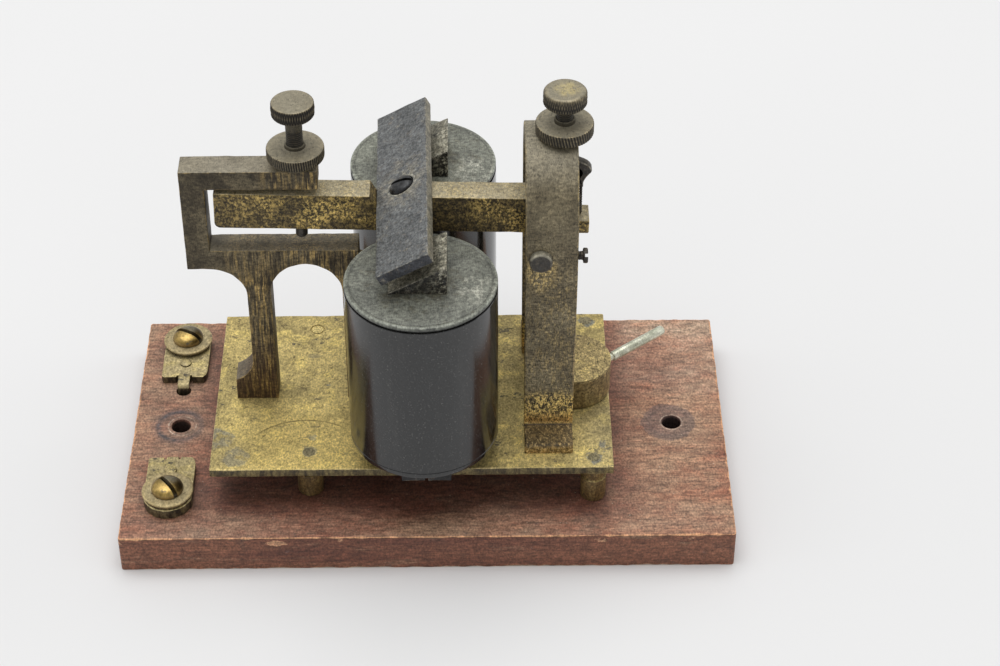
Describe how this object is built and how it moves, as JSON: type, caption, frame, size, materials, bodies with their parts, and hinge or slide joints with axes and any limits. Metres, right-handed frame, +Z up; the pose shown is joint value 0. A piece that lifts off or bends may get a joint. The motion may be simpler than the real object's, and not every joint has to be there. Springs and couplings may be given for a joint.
{
  "type": "telegraph sounder",
  "caption": "Telegraph sounder: upright coils pull an inclined iron armature, and a brass lever on a strap standard strikes an anvil, all on a brass plate over a wooden base.",
  "frame": {"origin": "centre of the wooden base's underside", "axes": "+X along the base's length, from the terminals to the drum handle; +Y to the rear coil; +Z up"},
  "size_m": [0.14, 0.0768, 0.105],
  "materials": {
    "stained_wood": "satin red-brown stain, worn at the edges",
    "plate_brass": "worn satin",
    "terminal_brass": "worn satin",
    "patina_brass": "dark patina",
    "dark_iron": "oxidised",
    "steel": "satin",
    "hard_rubber": "satin",
    "copper_winding": "enamelled wire",
    "covered_wire": "woven cover"
  },
  "bodies": {
    "base": {"base_board": "stained_wood", "pillar_screws": "steel", "plate_pillars": "plate_brass", "base_plate": "plate_brass", "terminal_plate_front": "terminal_brass", "terminal_plate_rear": "terminal_brass", "terminal_rivets": "terminal_brass", "terminal_washer_front": "terminal_brass", "terminal_washer_rear": "terminal_brass", "terminal_thin_washers": "terminal_brass", "terminal_nuts": "terminal_brass", "lead_wire_front": "covered_wire", "lead_wire_rear": "covered_wire", "lead_bushings": "hard_rubber", "anvil": "patina_brass", "anvil_screws": "steel", "standard": "patina_brass", "standard_screws": "steel", "pivot_pin_front": "dark_iron", "pivot_pin_rear": "dark_iron", "spring_hook": "dark_iron", "retractile_spring": "steel"},
    "lever": {"lever": "patina_brass", "lever_arbor": "steel", "lower_stop_pin": "dark_iron", "armature": "dark_iron", "armature_screw": "dark_iron"},
    "upper_stop_screw": {"upper_stop_screw": "patina_brass"},
    "upper_stop_nut": {"upper_stop_nut": "patina_brass"},
    "spring_screw": {"spring_screw": "patina_brass"},
    "spring_nut": {"spring_nut": "patina_brass"},
    "pivot_set_screw_front": {"pivot_set_screw_front": "dark_iron"},
    "pivot_set_screw_rear": {"pivot_set_screw_rear": "dark_iron"},
    "terminal_screw_front": {"terminal_screw_front": "terminal_brass"},
    "terminal_screw_rear": {"terminal_screw_rear": "terminal_brass"},
    "magnet": {"yoke": "dark_iron", "core_screws": "steel", "core_front": "dark_iron", "core_rear": "dark_iron", "coil_foot_front": "hard_rubber", "coil_foot_rear": "hard_rubber", "winding_front": "copper_winding", "winding_rear": "copper_winding", "coil_shell_front": "hard_rubber", "coil_shell_rear": "hard_rubber", "coil_cap_front": "hard_rubber", "coil_cap_rear": "hard_rubber", "pole_piece_front": "dark_iron", "pole_piece_rear": "dark_iron", "pole_studs": "steel", "coil_jumper": "covered_wire", "slide_plate": "plate_brass", "slide_spacers": "steel", "slide_screws": "steel"},
    "cam": {"cam_drum": "plate_brass", "cam_spindle": "steel", "cam_handle": "steel"}
  },
  "joints": [
    {"name": "lever_rock", "type": "hinge", "parent": "base", "child": "lever", "pos_m": [0.0256, 0, 0.071], "axis": [0, 1, 0], "range_deg": [-2.2, 0], "stiffness_Nm_per_rad": 0.15, "springref_deg": 8.59, "deforming": ["retractile_spring"]},
    {"name": "cam_turn", "type": "hinge", "parent": "base", "child": "cam", "pos_m": [0.0342, 0.0004, 0.0212], "axis": [0, 0, 1], "range_deg": [-30, 30]},
    {"name": "magnet_slide", "type": "slide", "parent": "base", "child": "magnet", "axis": [1, 0, 0], "range_m": [-0.00104, 0.00104]},
    {"name": "upper_stop_screw_turn", "type": "hinge", "parent": "base", "child": "upper_stop_screw", "pos_m": [-0.02755, 0, 0.09], "axis": [0, 0, 1], "continuous": true},
    {"name": "upper_stop_nut_turn", "type": "hinge", "parent": "base", "child": "upper_stop_nut", "pos_m": [-0.02755, 0, 0.088], "axis": [0, 0, 1], "continuous": true},
    {"name": "spring_screw_turn", "type": "hinge", "parent": "base", "child": "spring_screw", "pos_m": [0.03085, 0, 0.095], "axis": [0, 0, 1], "continuous": true},
    {"name": "spring_nut_turn", "type": "hinge", "parent": "base", "child": "spring_nut", "pos_m": [0.03085, 0, 0.095], "axis": [0, 0, 1], "continuous": true},
    {"name": "pivot_set_screw_front_turn", "type": "hinge", "parent": "base", "child": "pivot_set_screw_front", "pos_m": [0.03485, -0.0139, 0.071], "axis": [1, 0, 0], "continuous": true},
    {"name": "pivot_set_screw_rear_turn", "type": "hinge", "parent": "base", "child": "pivot_set_screw_rear", "pos_m": [0.03485, 0.0139, 0.071], "axis": [1, 0, 0], "continuous": true},
    {"name": "terminal_screw_front_turn", "type": "hinge", "parent": "base", "child": "terminal_screw_front", "pos_m": [-0.0595, -0.0262, 0.0133], "axis": [0, 0, 1], "continuous": true},
    {"name": "terminal_screw_rear_turn", "type": "hinge", "parent": "base", "child": "terminal_screw_rear", "pos_m": [-0.0595, 0.0281, 0.0133], "axis": [0, 0, 1], "continuous": true}
  ],
  "couplings": [
    {"joint": "cam_turn", "follows": "magnet_slide", "rad_per_m": -500}
  ]
}
